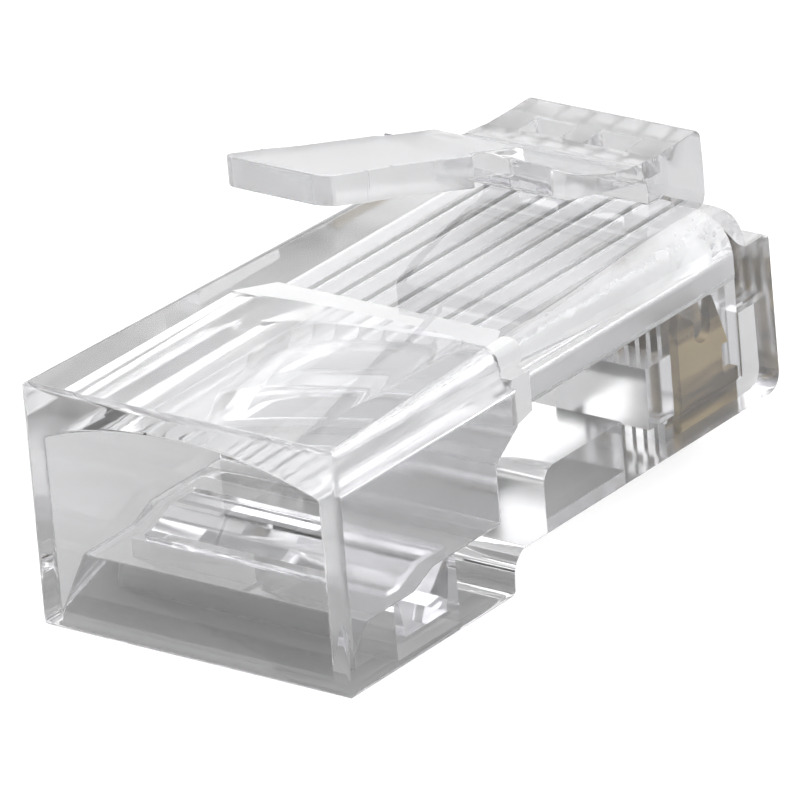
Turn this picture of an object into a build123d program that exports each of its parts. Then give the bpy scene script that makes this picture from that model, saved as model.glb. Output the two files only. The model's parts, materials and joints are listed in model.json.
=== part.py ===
"""RJ45 modular plug, 8 position 8 contact, before crimping.

Millimetres. +X points along the plug to its nose, +Y across it, +Z up to the latch.
The origin is below the middle of the plug, on the surface that its deep rear section rests on.
Heights (z) are above that surface. Lengths along the plug (x) are written from the rear face,
where the cable enters, and the planes below add REAR to them.
"""

from build123d import *
from math import cos, radians, sin
import os

# Body, outside
WIDTH = 11.68
HEIGHT = 7.93
NOSE_LENGTH = 22.0          # rear face to nose face, at the underside
POST_OVERHANG = 0.4         # the latch post stands this much ahead of the nose face
LATCH_FRONT = NOSE_LENGTH + POST_OVERHANG
REAR = -LATCH_FRONT / 2     # x of the rear face

REAR_SECTION = 7.97         # length of the deep rear section, at its underside
STEP_RUN = 0.2              # the step face leans forward by this much
STEP_EDGE_R = 0.3
STEP_ROOT_R = 0.7
NOSE_FLOOR = 1.42           # underside of the front section
NOSE_DRAFT = 0.15           # the nose face leans back by this much at the shelf
NOSE_R = 0.6
SHELF_LENGTH = 1.37         # low shelf at the nose, beside the latch post
SHELF_DROP = 1.31           # the shelf lies this much below the top
SHELF_Z = HEIGHT - SHELF_DROP
SHELF_EDGE_R = 0.25
TOP_EDGE_R_REAR = 0.3       # long top edges: nearly sharp at the rear, well rounded at the nose
TOP_EDGE_R_NOSE = 1.35
TOP_FRONT_R = 0.5
BOTTOM_EDGE_R = 0.35        # long lower edges
REAR_EDGE_R = 0.25
CREST = 0.02                # roundings across the body cross its faces this much before their tangent

# Wire channels
CONTACTS = 8
PITCH = 1.02
WIRE_H = 0.98               # height of a channel
WIRE_WALL = 0.14            # thin wall between neighbours
WIRE_CORNER_R = 0.22
WIRE_DEPTH = 2.21           # wire axes below the top
WIRE_AXIS_Z = HEIGHT - WIRE_DEPTH
NOSE_WALL = 0.85            # plastic ahead of the channels

# Cable cavity
MOUTH_WALL = 0.79           # side walls of the cavity
ARCH_CROWN_WALL = 0.83      # plastic over the middle of the arched ceiling
ARCH_SPRING_WALL = 1.7      # plastic over its two sides
MOUTH_FLOOR = 0.48
LIP_RUN = 1.3               # lead-in ramp at the mouth
LIP_FLOOR = 1.97
RAMP_START = 3.6            # short ramp in the floor, across the jacket clamp
RAMP_END = 4.6
CAVITY_FLOOR = 2.4
CAVITY_LENGTH = 8.0         # to the sill below the wires
CEILING_RUN = 1.2           # the arched ceiling ends this much ahead of the sill
CEILING_LENGTH = CAVITY_LENGTH + CEILING_RUN
FUNNEL_RUN = 1.2            # from there the funnel narrows to the wire channels
FUNNEL_END = CEILING_LENGTH + FUNNEL_RUN
FUNNEL_SIDE = 0.15          # the funnel's end stands this much outside the channels
FUNNEL_RISE = 0.4           # the funnel's ceiling starts this much above the channels
SILL_TOP = WIRE_AXIS_Z - WIRE_H / 2 - FUNNEL_SIDE
SILL_BEVEL = 0.77           # height of the sloping top of the sill

# Contacts, as they stand before crimping
CRIMP_TRAVEL = 0.94         # a blade is driven up by this much
CONTACT_RECESS = 0.5        # crimped foot above the underside
TIP_GAP = 0.15              # crimped tips below the channels' ceiling
BLADE_T = 0.33
BLADE_LENGTH = 2.95
BLADE_NOSE_GAP = 1.0        # nose face to blade
BLADE_REAR = NOSE_LENGTH - BLADE_NOSE_GAP - BLADE_LENGTH
BLADE_BOTTOM = NOSE_FLOOR + CONTACT_RECESS - CRIMP_TRAVEL
BLADE_TIP = WIRE_AXIS_Z + WIRE_H / 2 - TIP_GAP - CRIMP_TRAVEL
BLADE_FOOT_R = 0.3
BLADE_HEEL_R = 0.15
TINE_LENGTH = 1.32
TINE_W = 0.85
TINE_GAP = 0.85
TINE_TIP_W = 0.18
TINE_SLANT = 0.5
NOTCH_RISE = 1.4            # foot to the notch in the front edge
NOTCH_H = 0.97
NOTCH_DEPTH = 0.75
FRONT_SETBACK = 0.4         # front edge above the notch
SLOT_CLEARANCE = 0.03       # each side of a blade
SLOT_END_GAP = 0.1          # ahead of a blade
SLOT_REAR_GAP = 0.85        # behind a blade, to the cross pocket
GUIDE_W = 0.66              # wider mouth of each slot, for the socket's spring wires
GUIDE_DEPTH = 0.58          # the wide mouth under a blade
GUIDE_REAR_GAP = 1.05       # the wide mouth starts this much behind a blade
GUIDE_FRONT_DEPTH = 2.68    # the wide mouth ahead of the blades
CROSS_POCKET_LENGTH = 1.3   # pocket across the plug behind the slots
CROSS_POCKET_OVERLAP = 0.15  # the slots open into it by this much
CROSS_POCKET_W = 8.4
CROSS_POCKET_LOW = 0.78     # above the underside
CROSS_POCKET_H = 2.0

# Windows in the underside
CLAMP_WINDOW_REAR = 2.87
CLAMP_WINDOW_FRONT = 5.95
CLAMP_WINDOW_W = 9.0
CORD_WINDOW_REAR = 10.65
CORD_WINDOW_FRONT = 14.67
CORD_WINDOW_W = 8.4
CORD_WINDOW_DEPTH = 1.61
CORD_WINDOW_R = 0.55

# Jacket clamp bar in the rear window
CLAMP_SIDE_GAP = 0.2
CLAMP_FRONT_GAP = 0.05
CLAMP_REAR_GAP = 0.38
CLAMP_REAR_LEAN = 0.35      # the rear face leans forward by this much at the bottom
CLAMP_BOTTOM = 0.45
CLAMP_PIN_R = 0.28          # rounded front edge that the bar folds about

# Latch: lever bent about a hinge at the post
POST_LENGTH = 2.5           # nose face to the rear of the post
PLATEAU_RISE = 1.37         # post above the body's top
RIDGE_RISE = 1.47           # front of the post above the body's top
RIDGE_R = 0.35
POST_FOOT_DROP = 0.73       # below this the post's front leans back to the nose face
POST_ROOT_DROP = 1.93
ARCH_R = 0.45
POCKET_INSET = 0.45
POCKET_LENGTH = 1.0
POCKET_W = 1.5
POCKET_DEPTH = 1.0
TONGUE_W = 0.95             # between the two pockets
HINGE_SETBACK = 3.25        # nose face to the hinge axis
HINGE_RISE = 1.19           # hinge axis above the body's top
HINGE_R = 0.28
HINGE_CLEARANCE = 0.03
HEAD_W = 6.3
HEAD_LENGTH = 4.0           # hinge axis to the locking shoulders
HEAD_RISE = 1.8             # shoulders' upper edge above the hinge axis
HEAD_DIP = 0.21             # the head's top sags this much below a straight line
SHOULDER_H = 1.02
BEVEL_RUN = 0.75            # bevel under the shoulders
BEVEL_DROP = 0.35
NECK_W = 3.3
NECK_T = 0.83
NECK_HEIGHT = 0.33          # neck's top above the shoulders
NECK_FOOT_RUN = 0.75        # the neck ends this far ahead of the shoulders
NECK_FOOT_R = 0.3
FINGER_SLOPE = 0.28         # rise of the neck and finger per length
FINGER_ROOT_RUN = 1.95      # shoulders to the thick finger plate
FINGER_LENGTH = 7.3
FINGER_T = 1.1
FINGER_END_T = 1.0
FINGER_W = 3.6
FINGER_PAD_W = 3.9          # slightly wider free end
FINGER_PAD = 2.0            # length of the wide free end
FINGER_TAPER = 1.4
FINGER_CORNER_R = 0.5

HINGE_X = NOSE_LENGTH - HINGE_SETBACK
HINGE_Z = HEIGHT + HINGE_RISE
SHOULDER_X = HINGE_X - HEAD_LENGTH
SHOULDER_TOP = HINGE_Z + HEAD_RISE
NECK_TOP = SHOULDER_TOP + NECK_HEIGHT
FINGER_ROOT = SHOULDER_X - FINGER_ROOT_RUN
FINGER_END = FINGER_ROOT - FINGER_LENGTH

OUTSIDE = 1.0               # how far cutting shapes run past a face
OVERLAP = 0.1               # how far shapes that join run into each other


def side_plane(y):
    """Sketch plane along the plug, normal to -Y: sketch x is length from the rear face, y height."""
    return Plane(origin=(REAR, y, 0), x_dir=(1, 0, 0), z_dir=(0, -1, 0))


def cross_plane(x):
    """Sketch plane across the plug at x from the rear face, normal towards the nose."""
    return Plane(origin=(REAR + x, 0, 0), x_dir=(0, 1, 0), z_dir=(1, 0, 0))


def level_plane(z):
    """Sketch plane seen from above at height z: sketch x is length from the rear face."""
    return Plane(origin=(REAR, 0, z), x_dir=(1, 0, 0), z_dir=(0, 0, 1))


def contact_y(index):
    """Centre of a contact, counted from the -Y side."""
    return (index - (CONTACTS - 1) / 2) * PITCH


def nearest_corner(sketch, corner):
    """Vertex of a sketch in progress that lies nearest to a point given in the sketch."""
    return sketch.vertices().sort_by_distance(Vector(*corner))[0]


def body_block():
    """Solid body without the latch: top edges rounder towards the nose, stepped underside."""
    half = WIDTH / 2
    shelf_x = NOSE_LENGTH - SHELF_LENGTH
    sole = -CREST
    crest = HEIGHT + CREST
    step_foot = (REAR_SECTION, sole)
    step_root = (REAR_SECTION + STEP_RUN, NOSE_FLOOR)
    chin = (NOSE_LENGTH, NOSE_FLOOR)
    brow = (NOSE_LENGTH - NOSE_DRAFT, SHELF_Z)
    with BuildPart() as block:
        for x, radius in ((0, TOP_EDGE_R_REAR), (NOSE_LENGTH, TOP_EDGE_R_NOSE)):
            with BuildSketch(cross_plane(x)):
                with BuildLine():
                    Line((half, HEIGHT - radius), (half, BOTTOM_EDGE_R))
                    RadiusArc((half, BOTTOM_EDGE_R), (half - BOTTOM_EDGE_R, 0), BOTTOM_EDGE_R)
                    Line((half - BOTTOM_EDGE_R, 0), (BOTTOM_EDGE_R - half, 0))
                    RadiusArc((BOTTOM_EDGE_R - half, 0), (-half, BOTTOM_EDGE_R), BOTTOM_EDGE_R)
                    Line((-half, BOTTOM_EDGE_R), (-half, HEIGHT - radius))
                    RadiusArc((-half, HEIGHT - radius), (-half + radius, HEIGHT), radius)
                    Line((-half + radius, HEIGHT), (half - radius, HEIGHT))
                    RadiusArc((half - radius, HEIGHT), (half, HEIGHT - radius), radius)
                make_face()
        loft(ruled=True)
        with BuildSketch(side_plane(WIDTH)) as outline:
            with BuildLine():
                Polyline(
                    (0, sole), step_foot, step_root, chin, brow,
                    (shelf_x, SHELF_Z), (shelf_x, crest), (0, crest), close=True,
                )
            make_face()
            for corner, radius in (
                ((0, sole), REAR_EDGE_R),
                ((0, crest), REAR_EDGE_R),
                (step_foot, STEP_EDGE_R),
                (step_root, STEP_ROOT_R),
                (chin, NOSE_R),
                (brow, SHELF_EDGE_R),
                ((shelf_x, crest), TOP_FRONT_R),
            ):
                fillet(nearest_corner(outline, corner), radius)
        extrude(amount=2 * WIDTH, mode=Mode.INTERSECT)
        with BuildSketch(level_plane(0)) as plan:
            with Locations((NOSE_LENGTH / 2, 0)):
                Rectangle(NOSE_LENGTH, WIDTH + 2 * CREST)
            fillet(plan.vertices().group_by(Axis.X)[0], REAR_EDGE_R)
        extrude(amount=HEIGHT, mode=Mode.INTERSECT)
    return block.part


def cavity():
    """Space for the cable jacket: arched ceiling, ramped floor, sloping sill and funnel."""
    half = WIDTH / 2 - MOUTH_WALL
    crown = HEIGHT - ARCH_CROWN_WALL
    spring = HEIGHT - ARCH_SPRING_WALL
    with BuildPart() as space:
        with BuildSketch(cross_plane(-OUTSIDE)):
            with BuildLine():
                Polyline((half, spring), (half, 0), (-half, 0), (-half, spring))
                ThreePointArc((-half, spring), (0, crown), (half, spring))
            make_face()
        extrude(amount=OUTSIDE + CEILING_LENGTH)
        with BuildSketch(side_plane(WIDTH)):
            with BuildLine():
                Polyline(
                    (-OUTSIDE, MOUTH_FLOOR), (0, MOUTH_FLOOR), (LIP_RUN, LIP_FLOOR),
                    (RAMP_START, LIP_FLOOR), (RAMP_END, CAVITY_FLOOR), (CAVITY_LENGTH, CAVITY_FLOOR),
                    (CAVITY_LENGTH, SILL_TOP - SILL_BEVEL), (CEILING_LENGTH, SILL_TOP), (CEILING_LENGTH, HEIGHT),
                    (-OUTSIDE, HEIGHT), close=True,
                )
            make_face()
        extrude(amount=2 * WIDTH, mode=Mode.INTERSECT)
        wire_half = (CONTACTS * PITCH - WIRE_WALL) / 2
        for x, side, top in (
            (CEILING_LENGTH - OVERLAP, half - FUNNEL_SIDE, WIRE_AXIS_Z + WIRE_H / 2 + FUNNEL_RISE),
            (FUNNEL_END, wire_half + FUNNEL_SIDE, WIRE_AXIS_Z + WIRE_H / 2 + FUNNEL_SIDE),
        ):
            with BuildSketch(cross_plane(x)):
                with Locations((0, (SILL_TOP + top) / 2)):
                    Rectangle(2 * side, top - SILL_TOP)
        loft(ruled=True)
    return space.part


def wire_channels():
    """Eight channels side by side, a thin wall apart, each with rounded corners."""
    end = NOSE_LENGTH - NOSE_DRAFT - NOSE_WALL
    with BuildPart() as channels:
        with BuildSketch(cross_plane(FUNNEL_END - OVERLAP)):
            with Locations((0, WIRE_AXIS_Z)):
                with GridLocations(PITCH, 0, CONTACTS, 1):
                    RectangleRounded(PITCH - WIRE_WALL, WIRE_H, WIRE_CORNER_R)
        extrude(amount=end - FUNNEL_END + OVERLAP)
    return channels.part


def contact_slots():
    """Slots for the blades, open below and at the nose, each with a wider guide at its mouth."""
    rear = BLADE_REAR - SLOT_REAR_GAP
    guide_rear = BLADE_REAR - GUIDE_REAR_GAP
    front = BLADE_REAR + BLADE_LENGTH + SLOT_END_GAP
    below = NOSE_FLOOR - OUTSIDE
    ahead = NOSE_LENGTH + OUTSIDE
    guide_top = NOSE_FLOOR + GUIDE_DEPTH
    front_top = NOSE_FLOOR + GUIDE_FRONT_DEPTH
    slot = (
        (rear, below), (ahead, below), (ahead, front_top),
        (front, front_top), (front, WIRE_AXIS_Z), (rear, WIRE_AXIS_Z),
    )
    guide = (
        (guide_rear, below), (ahead, below), (ahead, front_top),
        (front, front_top), (front, guide_top), (guide_rear, guide_top),
    )
    with BuildPart() as slots:
        for index in range(CONTACTS):
            for outline, width in ((slot, BLADE_T + 2 * SLOT_CLEARANCE), (guide, GUIDE_W)):
                with BuildSketch(side_plane(contact_y(index) + width / 2)):
                    with BuildLine():
                        Polyline(*outline, close=True)
                    make_face()
                extrude(amount=width)
        with BuildSketch(cross_plane(rear + CROSS_POCKET_OVERLAP - CROSS_POCKET_LENGTH)):
            with Locations((0, NOSE_FLOOR + CROSS_POCKET_LOW + CROSS_POCKET_H / 2)):
                Rectangle(CROSS_POCKET_W, CROSS_POCKET_H)
        extrude(amount=CROSS_POCKET_LENGTH)
    return slots.part


def windows():
    """Openings in the underside: one for the jacket clamp, one under the wires."""
    cord_top = NOSE_FLOOR + CORD_WINDOW_DEPTH
    with BuildPart() as holes:
        with BuildSketch(level_plane(-OUTSIDE)):
            with Locations(((CLAMP_WINDOW_REAR + CLAMP_WINDOW_FRONT) / 2, 0)):
                Rectangle(CLAMP_WINDOW_FRONT - CLAMP_WINDOW_REAR, CLAMP_WINDOW_W)
        extrude(amount=OUTSIDE + CAVITY_FLOOR + OVERLAP)
        with BuildSketch(side_plane(CORD_WINDOW_W / 2)) as cord_window:
            with BuildLine():
                Polyline(
                    (CORD_WINDOW_REAR, NOSE_FLOOR - OUTSIDE), (CORD_WINDOW_FRONT, NOSE_FLOOR - OUTSIDE),
                    (CORD_WINDOW_FRONT, cord_top), (CORD_WINDOW_REAR, cord_top), close=True,
                )
            make_face()
            fillet(nearest_corner(cord_window, (CORD_WINDOW_REAR, cord_top)), CORD_WINDOW_R)
        extrude(amount=CORD_WINDOW_W)
    return holes.part


def hinge_point(angle, radius):
    """Point of the side view at an angle about the latch hinge, 0 towards the nose, 90 up."""
    return (HINGE_X + radius * cos(radians(angle)), HINGE_Z + radius * sin(radians(angle)))


def latch_post():
    """Front of the latch, solid with the body: post, plateau and the cup of the hinge."""
    cup = HINGE_R + HINGE_CLEARANCE
    lip_low, cup_middle, lip_high = (hinge_point(angle, cup) for angle in (-60, 10, 80))
    rear = NOSE_LENGTH - POST_LENGTH
    pocket_rear = rear + POCKET_INSET
    plateau = HEIGHT + PLATEAU_RISE
    ridge = HEIGHT + RIDGE_RISE
    root = HEIGHT - POST_ROOT_DROP
    with BuildPart() as post:
        with BuildSketch(side_plane(HEAD_W / 2)) as outline:
            with BuildLine():
                Line((rear, root), (rear, lip_low[1] - ARCH_R))
                RadiusArc((rear, lip_low[1] - ARCH_R), (rear - ARCH_R, lip_low[1]), -ARCH_R)
                Line((rear - ARCH_R, lip_low[1]), lip_low)
                ThreePointArc(lip_low, cup_middle, lip_high)
                Polyline(
                    lip_high, (pocket_rear, plateau), (LATCH_FRONT, ridge), (LATCH_FRONT, HEIGHT - POST_FOOT_DROP),
                    (NOSE_LENGTH - NOSE_DRAFT, root), (rear, root),
                )
            make_face()
            fillet(nearest_corner(outline, (LATCH_FRONT, ridge)), RIDGE_R)
        extrude(amount=HEAD_W)
        with BuildSketch(level_plane(ridge)):
            with Locations((pocket_rear + POCKET_LENGTH / 2, 0)):
                with GridLocations(0, TONGUE_W + POCKET_W, 1, 2):
                    Rectangle(POCKET_LENGTH, POCKET_W)
        extrude(amount=-POCKET_DEPTH, mode=Mode.SUBTRACT)
    return post.part


def make_housing():
    """The clear moulding, all but the two parts that fold on thin webs."""
    with BuildPart() as housing:
        add(body_block())
        add(latch_post())
        add(cavity(), mode=Mode.SUBTRACT)
        add(wire_channels(), mode=Mode.SUBTRACT)
        add(contact_slots(), mode=Mode.SUBTRACT)
        add(windows(), mode=Mode.SUBTRACT)
    return housing.part


def lever_head():
    """Wide part of the latch lever: rounded root in the hinge cup, two locking shoulders."""
    root_top = hinge_point(90, HINGE_R)
    root_front = hinge_point(0, HINGE_R)
    root_bottom = hinge_point(-90, HINGE_R)
    sag = ((root_top[0] + SHOULDER_X) / 2, (root_top[1] + SHOULDER_TOP) / 2 - HEAD_DIP)
    with BuildPart() as head:
        with BuildSketch(side_plane(HEAD_W / 2)):
            with BuildLine():
                ThreePointArc(root_top, sag, (SHOULDER_X, SHOULDER_TOP))
                Polyline(
                    (SHOULDER_X, SHOULDER_TOP), (SHOULDER_X, SHOULDER_TOP - SHOULDER_H),
                    (SHOULDER_X + BEVEL_RUN, SHOULDER_TOP - SHOULDER_H - BEVEL_DROP), root_bottom,
                )
                ThreePointArc(root_bottom, root_front, root_top)
            make_face()
        extrude(amount=HEAD_W)
    return head.part


def slope_top(x):
    """Height of the straight top of the neck and finger at x."""
    return NECK_TOP - FINGER_SLOPE * (x - SHOULDER_X)


def neck():
    """Thin neck between the finger plate and the head."""
    rear = FINGER_ROOT - OVERLAP
    foot = SHOULDER_X + NECK_FOOT_RUN
    with BuildPart() as bridge:
        with BuildSketch(side_plane(NECK_W / 2)) as outline:
            with BuildLine():
                Polyline(
                    (rear, slope_top(rear)), (foot, slope_top(foot)),
                    (foot, slope_top(foot) - NECK_T), (rear, slope_top(rear) - NECK_T), close=True,
                )
            make_face()
            fillet(nearest_corner(outline, (foot, slope_top(foot))), NECK_FOOT_R)
        extrude(amount=NECK_W)
    return bridge.part


def finger():
    """Plate that a finger presses, thicker than the neck, its free end a little wider."""
    pad_end = FINGER_END + FINGER_PAD
    taper_end = pad_end + FINGER_TAPER
    pad_half = FINGER_PAD_W / 2
    half = FINGER_W / 2
    with BuildPart() as plate:
        with BuildSketch(side_plane(pad_half)):
            with BuildLine():
                Polyline(
                    (FINGER_END, slope_top(FINGER_END)), (FINGER_ROOT, slope_top(FINGER_ROOT)),
                    (FINGER_ROOT, slope_top(FINGER_ROOT) - FINGER_T),
                    (FINGER_END, slope_top(FINGER_END) - FINGER_END_T), close=True,
                )
            make_face()
        extrude(amount=FINGER_PAD_W)
        with BuildSketch(level_plane(HEIGHT)) as plan:
            with BuildLine():
                Polyline(
                    (FINGER_END, pad_half), (pad_end, pad_half), (taper_end, half), (FINGER_ROOT, half),
                    (FINGER_ROOT, -half), (taper_end, -half), (pad_end, -pad_half), (FINGER_END, -pad_half),
                    close=True,
                )
            make_face()
            fillet(plan.vertices().group_by(Axis.X)[0], FINGER_CORNER_R)
            for x, y in ((pad_end, pad_half), (taper_end, half)):
                for side in (1, -1):
                    fillet(nearest_corner(plan, (x, side * y)), FINGER_TAPER)
        extrude(amount=slope_top(FINGER_END) - HEIGHT, mode=Mode.INTERSECT)
    return plate.part


def make_latch_lever():
    """The latch that clicks into the socket and is pressed to let the plug go."""
    with BuildPart() as lever:
        add(lever_head())
        add(neck())
        add(finger())
    return lever.part


def make_jacket_clamp():
    """Bar in the floor of the cavity that folds up into the cable jacket at crimping."""
    half = CLAMP_WINDOW_W / 2 - CLAMP_SIDE_GAP
    front = CLAMP_WINDOW_FRONT - CLAMP_FRONT_GAP
    rear = CLAMP_WINDOW_REAR + CLAMP_REAR_GAP
    pin_x = front - CLAMP_PIN_R
    pin_z = CAVITY_FLOOR - CLAMP_PIN_R
    with BuildPart() as clamp:
        with BuildSketch(side_plane(half)):
            with BuildLine():
                Polyline(
                    (pin_x, CAVITY_FLOOR), (RAMP_END, CAVITY_FLOOR), (RAMP_START, LIP_FLOOR), (rear, LIP_FLOOR),
                    (rear + CLAMP_REAR_LEAN, CLAMP_BOTTOM), (pin_x, CLAMP_BOTTOM), (front, pin_z),
                )
                RadiusArc((front, pin_z), (pin_x, CAVITY_FLOOR), -CLAMP_PIN_R)
            make_face()
        extrude(amount=2 * half)
    return clamp.part


def make_contact(index):
    """Gold plated blade: two tines that pierce the wire, notched front edge, rounded foot."""
    rear = BLADE_REAR
    front = BLADE_REAR + BLADE_LENGTH
    brow = front - FRONT_SETBACK
    gap_rear = rear + TINE_W
    gap_front = gap_rear + TINE_GAP
    notch_low = BLADE_BOTTOM + NOTCH_RISE
    notch_high = notch_low + NOTCH_H
    slant_z = BLADE_TIP - TINE_SLANT
    arc_z = BLADE_TIP - TINE_LENGTH + TINE_GAP / 2
    with BuildPart() as blade:
        with BuildSketch(side_plane(contact_y(index) + BLADE_T / 2)) as outline:
            with BuildLine():
                Polyline(
                    (gap_rear, arc_z), (gap_rear, slant_z), (rear + TINE_TIP_W, BLADE_TIP), (rear, slant_z),
                    (rear, BLADE_BOTTOM), (front, BLADE_BOTTOM), (front, notch_low),
                    (front - NOTCH_DEPTH, notch_low), (front - NOTCH_DEPTH, notch_high), (brow, notch_high),
                    (gap_front + TINE_TIP_W, BLADE_TIP), (gap_front, slant_z), (gap_front, arc_z),
                )
                ThreePointArc(
                    (gap_front, arc_z), ((gap_front + gap_rear) / 2, arc_z - TINE_GAP / 2), (gap_rear, arc_z)
                )
            make_face()
            fillet(nearest_corner(outline, (front, BLADE_BOTTOM)), BLADE_FOOT_R)
            fillet(nearest_corner(outline, (rear, BLADE_BOTTOM)), BLADE_HEEL_R)
        extrude(amount=BLADE_T)
    return blade.part


pieces = {
    "housing": make_housing(),
    "latch_lever": make_latch_lever(),
    "jacket_clamp": make_jacket_clamp(),
}
for index in range(CONTACTS):
    pieces[f"contact_{index + 1}"] = make_contact(index)

os.makedirs("parts", exist_ok=True)
for name, piece in pieces.items():
    piece.label = name
    export_step(piece, f"parts/{name}.step")
    print(name, "volume", round(piece.volume, 2), "solids", len(piece.solids()))
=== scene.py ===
"""Clear RJ45 plug on a pale floor, seen from its cable end as in the photograph."""

import json
import math

import bmesh
import bpy
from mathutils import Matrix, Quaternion, Vector


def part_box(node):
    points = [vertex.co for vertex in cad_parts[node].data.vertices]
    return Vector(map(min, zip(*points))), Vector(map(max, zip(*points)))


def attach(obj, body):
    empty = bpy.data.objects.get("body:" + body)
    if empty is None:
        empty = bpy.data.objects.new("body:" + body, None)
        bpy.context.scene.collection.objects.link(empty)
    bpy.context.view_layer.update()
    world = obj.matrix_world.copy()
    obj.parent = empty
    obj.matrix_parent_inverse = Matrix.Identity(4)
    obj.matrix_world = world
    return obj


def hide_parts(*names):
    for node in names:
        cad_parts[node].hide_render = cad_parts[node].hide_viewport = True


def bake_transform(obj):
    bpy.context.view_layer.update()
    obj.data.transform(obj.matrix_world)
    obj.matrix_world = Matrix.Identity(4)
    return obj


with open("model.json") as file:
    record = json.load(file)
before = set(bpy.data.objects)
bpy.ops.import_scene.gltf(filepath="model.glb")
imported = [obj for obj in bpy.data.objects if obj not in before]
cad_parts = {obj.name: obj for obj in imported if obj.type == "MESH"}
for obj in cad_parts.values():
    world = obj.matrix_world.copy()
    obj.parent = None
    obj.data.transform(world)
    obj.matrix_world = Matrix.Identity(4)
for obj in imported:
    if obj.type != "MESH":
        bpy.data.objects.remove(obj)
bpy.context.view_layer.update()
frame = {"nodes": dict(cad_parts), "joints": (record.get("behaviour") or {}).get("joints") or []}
nodes = frame["nodes"]
scene = bpy.context.scene

MM = 0.001
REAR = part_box("housing")[0][0]
BODY_TOP = 7.93 * MM
HINGE = next(Vector(joint["pos_m"]) for joint in frame["joints"] if joint["name"] == "latch_press")
LATCH_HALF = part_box("latch_lever")[1][1]

CAMERA_PLACE = (-0.22922, -0.18198, 0.12962)
CAMERA_AIM = (-0.0006, 0, 0.00432)
CAMERA_ROLL = math.radians(-4.72)
CAMERA_LENS = 476.2            # mm, on a sensor 36 mm wide

# The web that joins latch and body, from the side: along and up from the hinge, in mm.
WEB = [
    (-0.15, 0.24), (0, 0.27), (0.15, 0.28), (0.3, 0.08),
    (0.3, -0.22), (0.2, -0.255), (0, -0.26), (-0.15, -0.17),
]
BEND_REACH = 0.25 * MM         # the latch is parted from the body this far along from the hinge
BEND_STEP = 0.1 * MM           # between the loops of edges across it
BEND_LOOPS = 4

EDGE_RADIUS = 0.14 * MM        # cable mouth's rim and rear of the shoulders
OTHER_EDGES = 0.5              # share of it on the other edges that show
EDGE_ANGLE = math.radians(35)  # edges less sharp than this stay as they are
EDGE_LENGTH = 0.04 * MM        # so do shorter ones
FLAT_ANGLE = math.radians(0.4)
CRISP_ANGLE = math.radians(33)

# Places on the moulding in mm: x from the cable end, y from the middle, z from the floor.
TOP_Z = 7.9                    # above it are the body's top face and the latch
LATCH_Z = 7.98                 # above it is the latch alone, with its post
WEB_X = (18.3, 19.3)
FINGER_X = 12.85               # the finger plate ends here
SHOULDER_X = (14.7, 14.8)      # rear of the locking shoulders
DEEP_X = 8.9                   # end of the deep rear section
CAVITY_X = 9.2                 # end of the cable cavity
NOSE_X = 9.3                   # channels and slots start here
SLOTS_X = 16                   # the walls between the channels end here
NOSE_Y = 4.6                   # channels and slots lie within this
RAMP_X = 1.35                  # inner end of the ramp behind the mouth
UPPER_Z = 5.1                  # above it are the channels and the cavity's ceiling

FLOOR_HALF = 3.0
FLOOR_TONE = 0.5
FLOOR_GLOW = 0.6               # seen by the camera alone, it makes the floor white

AHEAD = (0.783, 0.622, 0)
BEHIND = (-0.783, -0.622, 0)
RIGHT = (0.622, -0.783, 0)
UP = (0, 0, 1)

# The one clear plastic as it is finished in different places.
FINISHES = {
    "clear": {"roughness": 0.02, "haze": 0.02},
    "frosted": {"roughness": 0.12, "haze": 0.08, "grain": 0.06},
    "satin": {"roughness": 0.4, "haze": 0.22},
    "milky": {"roughness": 0.35, "haze": 0.12},
    "soft": {"roughness": 0.2, "haze": 0.1},
    "slotted": {"roughness": 0.15, "haze": 0.05},
    "cloudy": {"roughness": 0.04, "haze": 0.12},
    # ramp behind the cable mouth: real grain, and a tone of 0.6 that is painted shade, darkening what
    # is seen through it
    "grained_painted_shade": {"roughness": 0.12, "haze": 0.0, "grain": 0.2, "grain_scale": 1500.0, "tone": 0.6},
}


def add_object(name, data):
    piece = bpy.data.objects.new(name, data)
    scene.collection.objects.link(piece)
    return piece


def add_node(tree, kind, values=None):
    """New shader node of the given kind with some of its inputs set."""
    node = tree.nodes.new("ShaderNode" + kind)
    for name, value in (values or {}).items():
        node.inputs[name].default_value = value
    return node


def grey(level):
    return (level, level, level, 1)


def make_camera():
    data = bpy.data.cameras.new("camera")
    data.sensor_width = 36
    data.lens = CAMERA_LENS
    data.clip_start = 0.01
    data.clip_end = 20
    camera = add_object("camera", data)
    camera.location = Vector(CAMERA_PLACE)
    camera.rotation_mode = "QUATERNION"
    turn = (Vector(CAMERA_AIM) - camera.location).to_track_quat("-Z", "Y")
    camera.rotation_quaternion = turn @ Quaternion((0, 0, 1), CAMERA_ROLL)
    scene.camera = camera


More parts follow.
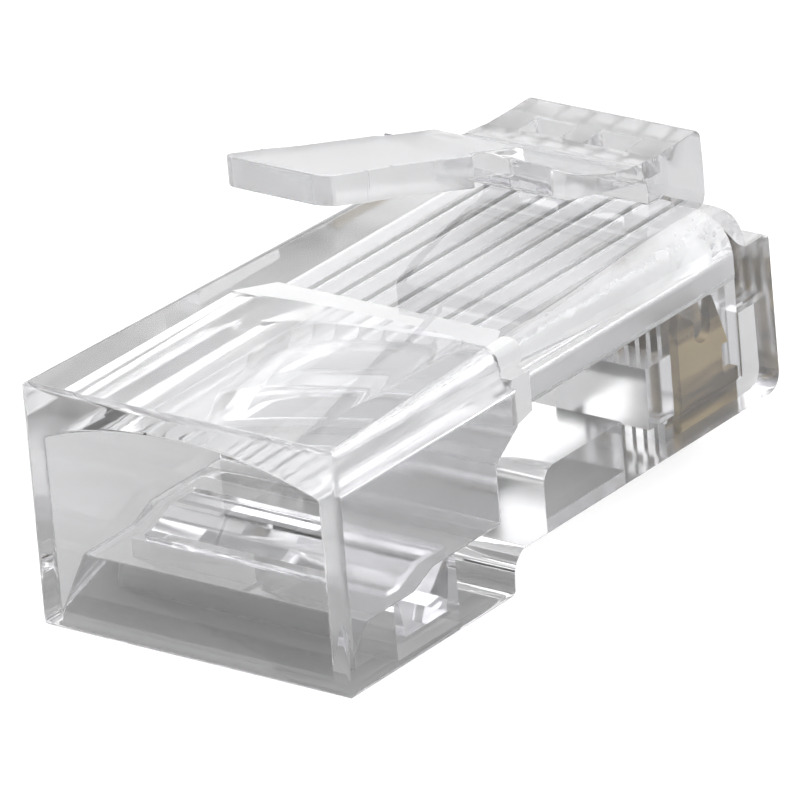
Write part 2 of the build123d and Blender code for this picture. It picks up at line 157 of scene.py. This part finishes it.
def clear_plastic(kind, roughness, haze, grain=0.0, grain_scale=5000.0, tone=0.97):
    """Polycarbonate: refracts, scatters the haze's share of the light, and lets soft light through."""
    material = bpy.data.materials.new(kind + "_polycarbonate")
    material.use_nodes = True
    tree = material.node_tree
    tree.nodes.clear()
    link = tree.links.new
    plastic = add_node(tree, "BsdfPrincipled", {
        # a tone below the plastic's own 0.97 is painted shade
        "Base Color": (tone, tone, tone + 0.015, 1),
        "Roughness": roughness,
        "IOR": 1.585,
        "Transmission Weight": 1 - haze,
    })
    if grain:
        place = add_node(tree, "TexCoord")
        noise = add_node(tree, "TexNoise", {"Scale": grain_scale, "Detail": 3})
        relief = add_node(tree, "Bump", {"Strength": grain, "Distance": 0.00002})
        link(place.outputs["Object"], noise.inputs["Vector"])
        link(noise.outputs["Fac"], relief.inputs["Height"])
        link(relief.outputs["Normal"], plastic.inputs["Normal"])
    path = add_node(tree, "LightPath")
    passing = add_node(tree, "Math")
    passing.operation = "MAXIMUM"
    link(path.outputs["Is Shadow Ray"], passing.inputs[0])
    link(path.outputs["Is Diffuse Ray"], passing.inputs[1])
    unbent = add_node(tree, "BsdfTransparent", {"Color": grey(0.84)})
    mix = add_node(tree, "MixShader")
    link(passing.outputs["Value"], mix.inputs["Fac"])
    link(plastic.outputs["BSDF"], mix.inputs[1])
    link(unbent.outputs["BSDF"], mix.inputs[2])
    output = add_node(tree, "OutputMaterial")
    link(mix.outputs["Shader"], output.inputs["Surface"])
    return material


def gold():
    """Gold plate over a stamped blade: streaks and faint creases along the plug."""
    material = bpy.data.materials.new("gold_contact")
    material.use_nodes = True
    tree = material.node_tree
    link = tree.links.new
    plate = tree.nodes["Principled BSDF"]
    plate.inputs["Metallic"].default_value = 1
    place = add_node(tree, "TexCoord")
    drawn = add_node(tree, "Mapping", {"Scale": (0.12, 1, 1)})
    link(place.outputs["Object"], drawn.inputs["Vector"])
    streaks = add_node(tree, "TexNoise", {"Scale": 900, "Detail": 3})
    link(drawn.outputs["Vector"], streaks.inputs["Vector"])
    spots = add_node(tree, "TexNoise", {"Scale": 2500, "Detail": 4})
    link(place.outputs["Object"], spots.inputs["Vector"])
    tone = add_node(tree, "ValToRGB")
    stops = ((0.42, (0.10, 0.068, 0.028, 1)), (0.58, (0.50, 0.38, 0.19, 1)))
    for element, (position, color) in zip(tone.color_ramp.elements, stops):
        element.position = position
        element.color = color
    link(streaks.outputs["Fac"], tone.inputs["Fac"])
    link(tone.outputs["Color"], plate.inputs["Base Color"])
    rough = add_node(tree, "MapRange", {"To Min": 0.22, "To Max": 0.42})
    link(spots.outputs["Fac"], rough.inputs["Value"])
    link(rough.outputs["Result"], plate.inputs["Roughness"])
    relief = add_node(tree, "Bump", {"Strength": 0.5, "Distance": 0.00005})
    link(streaks.outputs["Fac"], relief.inputs["Height"])
    link(relief.outputs["Normal"], plate.inputs["Normal"])
    return material


def prism(name, outline, half):
    """Closed bar across the plug with the given side outline."""
    count = len(outline)
    corners = [(x, side * half, z) for side in (-1, 1) for x, z in outline]
    faces = [tuple(range(count)), tuple(range(2 * count - 1, count - 1, -1))]
    for i in range(count):
        j = (i + 1) % count
        faces.append((i, i + count, j + count, j))
    mesh = bpy.data.meshes.new(name)
    mesh.from_pydata(corners, [], faces)
    shape = bmesh.new()
    shape.from_mesh(mesh)
    bmesh.ops.recalc_face_normals(shape, faces=shape.faces)
    shape.to_mesh(mesh)
    shape.free()
    return add_object(name, mesh)


def applied(piece):
    """Puts the outcome of a piece's modifiers into its mesh."""
    graph = bpy.context.evaluated_depsgraph_get()
    mesh = bpy.data.meshes.new_from_object(piece.evaluated_get(graph))
    piece.modifiers.clear()
    piece.data = mesh


def join(piece, other):
    union = piece.modifiers.new("union", "BOOLEAN")
    union.object = other
    union.operation = "UNION"
    union.solver = "EXACT"
    applied(piece)
    bpy.data.objects.remove(other)


def one_moulding():
    """Body and latch as the one clear moulding that they are, with the thin web between them filled."""
    moulding = add_object("moulding", nodes["housing"].data.copy())
    join(moulding, add_object("lever", nodes["latch_lever"].data.copy()))
    outline = [(HINGE.x + x * MM, HINGE.z + z * MM) for x, z in WEB]
    join(moulding, prism("web", outline, LATCH_HALF))
    return moulding


def place_on_plug(point):
    """Millimetres from the cable end, from the middle and from the floor."""
    return (point.x - REAR) / MM, abs(point.y) / MM, point.z / MM


def shown_edge(point):
    """Whether a corner lies where the moulding's rounded edges are seen."""
    x, y, z = place_on_plug(point)
    if z > TOP_Z:
        on_web = WEB_X[0] < x < WEB_X[1]
        body_rim = x < 0.5 or y > 4.3
        return not on_web and not body_rim
    if x < DEEP_X:
        clamp_window = 2.5 < x < 6.2 and z < 2.6 and y < 4.7
        rear_corner = x < 0.5 and y > 5.4
        return not clamp_window and not rear_corner
    return 5.0 < y and z < 6.5


def rounder_edge(point):
    """Whether a corner lies on the cable mouth's rim or on the rear of the locking shoulders."""
    x = place_on_plug(point)[0]
    return x < 0.02 or (point.z > BODY_TOP and SHOULDER_X[0] < x < SHOULDER_X[1])


def round_edges(piece):
    """Small moulded radii on the edges that show."""
    shape = bmesh.new()
    shape.from_mesh(piece.data)
    bmesh.ops.dissolve_limit(
        shape, angle_limit=FLAT_ANGLE, verts=shape.verts, edges=shape.edges, delimit=set()
    )
    weight = shape.edges.layers.float.new("bevel_weight_edge")
    for edge in shape.edges:
        if edge.calc_face_angle() > EDGE_ANGLE and edge.calc_length() > EDGE_LENGTH:
            if all(shown_edge(corner.co) for corner in edge.verts):
                rounder = all(rounder_edge(corner.co) for corner in edge.verts)
                edge[weight] = 1 if rounder else OTHER_EDGES
    shape.to_mesh(piece.data)
    shape.free()
    radius = piece.modifiers.new("edges", "BEVEL")
    radius.limit_method = "WEIGHT"
    radius.width = EDGE_RADIUS
    radius.segments = 2
    radius.use_clamp_overlap = False
    radius.miter_outer = "MITER_ARC"
    applied(piece)


def smooth(piece):
    """Smooth shading with crisp edges, large flat faces kept flat."""
    shape = bmesh.new()
    shape.from_mesh(piece.data)
    for face in shape.faces:
        face.smooth = True
    for edge in shape.edges:
        edge.smooth = not edge.is_manifold or edge.calc_face_angle() < CRISP_ANGLE
    shape.to_mesh(piece.data)
    shape.free()
    even = piece.modifiers.new("even", "WEIGHTED_NORMAL")
    even.keep_sharp = True
    even.weight = 100
    applied(piece)


def cut_across(shape, x):
    """Loop of edges where the plane at x crosses the shape."""
    parts = [*shape.verts, *shape.edges, *shape.faces]
    bmesh.ops.bisect_plane(shape, geom=parts, dist=1e-8, plane_co=(x, 0, 0), plane_no=(1, 0, 0))


def part_latch(moulding):
    """Moves the latch into a piece of its own, whose open end meets the moulding's exactly."""
    seam = HINGE.x + BEND_REACH

    def on_latch(face):
        middle = face.calc_center_median()
        return middle.x < seam and middle.z > BODY_TOP + 0.1 * MM

    shape = bmesh.new()
    shape.from_mesh(moulding.data)
    cut_across(shape, seam)
    rest = shape.copy()
    bmesh.ops.delete(rest, geom=[face for face in rest.faces if on_latch(face)], context="FACES")
    rest.to_mesh(moulding.data)
    rest.free()
    bmesh.ops.delete(shape, geom=[face for face in shape.faces if not on_latch(face)], context="FACES")
    for step in range(1, BEND_LOOPS + 1):
        cut_across(shape, seam - step * BEND_STEP)
    mesh = bpy.data.meshes.new("latch")
    shape.to_mesh(mesh)
    shape.free()
    for material in moulding.data.materials:
        mesh.materials.append(material)
    return add_object("latch", mesh)


def finish_of(face):
    """Name of a face's finish, by where the face lies and which way it looks."""
    x, y, z = place_on_plug(face.calc_center_median())
    level = abs(face.normal.z) > 0.5
    if z > LATCH_Z:
        if x < FINGER_X:
            return "milky" if level else "soft"
        return "soft" if level else "clear"
    outside = z > TOP_Z or y > 5.5 or x < 0.1 or z < 0.1
    if outside:
        return "clear"
    cavity_wall = x < CAVITY_X and abs(face.normal.y) > 0.9 and 4.7 < y < 5.3
    if cavity_wall:
        return "frosted"
    # the ramp behind the mouth gets the grained finish with painted shade in its tone
    ramp = x < RAMP_X and face.normal.x < -0.3 and face.normal.z > 0.3
    if ramp:
        return "grained_painted_shade"
    if x > NOSE_X and y < NOSE_Y:
        channel = z > UPPER_Z and (level or x < SLOTS_X)
        return "satin" if channel else "slotted"
    return "cloudy" if z > UPPER_Z and level else "clear"


def finish_surfaces(piece, plastics):
    """Gives a piece all finishes and each of its faces its own."""
    piece.data.materials.clear()
    for material in plastics.values():
        piece.data.materials.append(material)
    order = list(plastics)
    shape = bmesh.new()
    shape.from_mesh(piece.data)
    for face in shape.faces:
        face.material_index = order.index(finish_of(face))
    shape.to_mesh(piece.data)
    shape.free()


def give(node, material):
    """Gives a CAD node its material."""
    node.data.materials.clear()
    node.data.materials.append(material)


def make_floor():
    """Pale matt floor. The camera sees it white, and it keeps the plug's shadow."""
    mesh = bpy.data.meshes.new("floor")
    signs = ((-1, -1), (1, -1), (1, 1), (-1, 1))
    mesh.from_pydata([(x * FLOOR_HALF, y * FLOOR_HALF, 0) for x, y in signs], [], [(0, 1, 2, 3)])
    floor = add_object("floor", mesh)
    material = bpy.data.materials.new("floor")
    material.use_nodes = True
    tree = material.node_tree
    tree.nodes.clear()
    link = tree.links.new
    path = add_node(tree, "LightPath")
    level = add_node(tree, "Math")
    level.operation = "MULTIPLY"
    level.inputs[1].default_value = FLOOR_GLOW
    link(path.outputs["Is Camera Ray"], level.inputs[0])
    glow = add_node(tree, "Emission")
    link(level.outputs["Value"], glow.inputs["Strength"])
    matt = add_node(tree, "BsdfDiffuse", {"Color": grey(FLOOR_TONE)})
    both = add_node(tree, "AddShader")
    link(matt.outputs["BSDF"], both.inputs[0])
    link(glow.outputs["Emission"], both.inputs[1])
    output = add_node(tree, "OutputMaterial")
    link(both.outputs["Shader"], output.inputs["Surface"])
    mesh.materials.append(material)


def make_world():
    """Plain studio: bright ahead of the camera and behind it, dim to both sides near the floor."""
    world = bpy.data.worlds.new("studio")
    scene.world = world
    world.use_nodes = True
    tree = world.node_tree
    link = tree.links.new
    background = tree.nodes["Background"]
    place = add_node(tree, "TexCoord")

    def towards(axis):
        """1 where the view looks along the axis, 0 square to it, -1 away from it."""
        dot = add_node(tree, "VectorMath")
        dot.operation = "DOT_PRODUCT"
        dot.inputs[1].default_value = axis
        link(place.outputs["Generated"], dot.inputs[0])
        return dot.outputs["Value"]

    def rise(value, low, high, top):
        """Smooth step from 0 to top as the value goes from low to high."""
        step = add_node(tree, "MapRange", {"From Min": low, "From Max": high, "To Max": top})
        step.interpolation_type = "SMOOTHSTEP"
        link(value, step.inputs["Value"])
        return step.outputs["Result"]

    def combine(operation, first, second):
        node = add_node(tree, "Math")
        node.operation = operation
        link(first, node.inputs[0])
        link(second, node.inputs[1])
        return node.outputs["Value"]

    up = towards(UP)
    ahead = towards(AHEAD)
    behind = towards(BEHIND)
    right = towards(RIGHT)
    parts = [
        rise(up, 0.5, 0.95, 1.9),
        rise(ahead, 0.45, 0.85, 0.45),
        combine("MULTIPLY", rise(ahead, 0.45, 0.85, 1.0), rise(up, 0.12, 0.3, 1)),
        combine("MULTIPLY", rise(behind, 0.3, 0.7, 0.8), rise(up, 0.12, 0.35, 1)),
        combine("MULTIPLY", rise(right, 0.25, 0.6, 0.9), rise(up, 0.35, 0.6, 1)),
    ]
    level = parts[0]
    for part in parts[1:]:
        level = combine("ADD", level, part)
    path = add_node(tree, "LightPath")
    mix = add_node(tree, "Mix")
    mix.data_type = "FLOAT"
    mix.inputs["B"].default_value = 1
    link(path.outputs["Is Camera Ray"], mix.inputs["Factor"])
    link(level, mix.inputs["A"])
    link(mix.outputs["Result"], background.inputs["Strength"])
    background.inputs["Color"].default_value = grey(1)


def area_light(name, location, size, watts):
    """Softbox that looks at the plug."""
    data = bpy.data.lights.new(name, "AREA")
    data.shape = "RECTANGLE"
    data.size, data.size_y = size
    data.energy = watts
    lamp = add_object(name, data)
    lamp.location = location
    lamp.rotation_mode = "QUATERNION"
    lamp.rotation_quaternion = (-Vector(location)).to_track_quat("-Z", "Y")


make_camera()
plastics = {kind: clear_plastic(kind, **values) for kind, values in FINISHES.items()}
plated = gold()

moulding = one_moulding()
round_edges(moulding)
finish_surfaces(moulding, plastics)
latch = part_latch(moulding)
for piece, node in ((moulding, "housing"), (latch, "latch_lever")):
    smooth(piece)
    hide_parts(node)
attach(moulding, "housing")
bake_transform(latch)
give(nodes["jacket_clamp"], plastics["clear"])
for name in sorted(nodes):
    if name.startswith("contact_"):
        give(nodes[name], plated)
make_floor()
make_world()
area_light("front_softbox", (-0.432, -0.343, 0.431), (0.7, 0.45), 0.5)
area_light("back_softbox", (0.407, 0.324, 0.468), (0.85, 0.32), 0.6)

scene.cycles.max_bounces = 32
scene.cycles.transmission_bounces = 32
scene.cycles.glossy_bounces = 16
scene.cycles.transparent_max_bounces = 32
scene.cycles.caustics_refractive = False
scene.cycles.caustics_reflective = False
scene.view_settings.view_transform = "Standard"
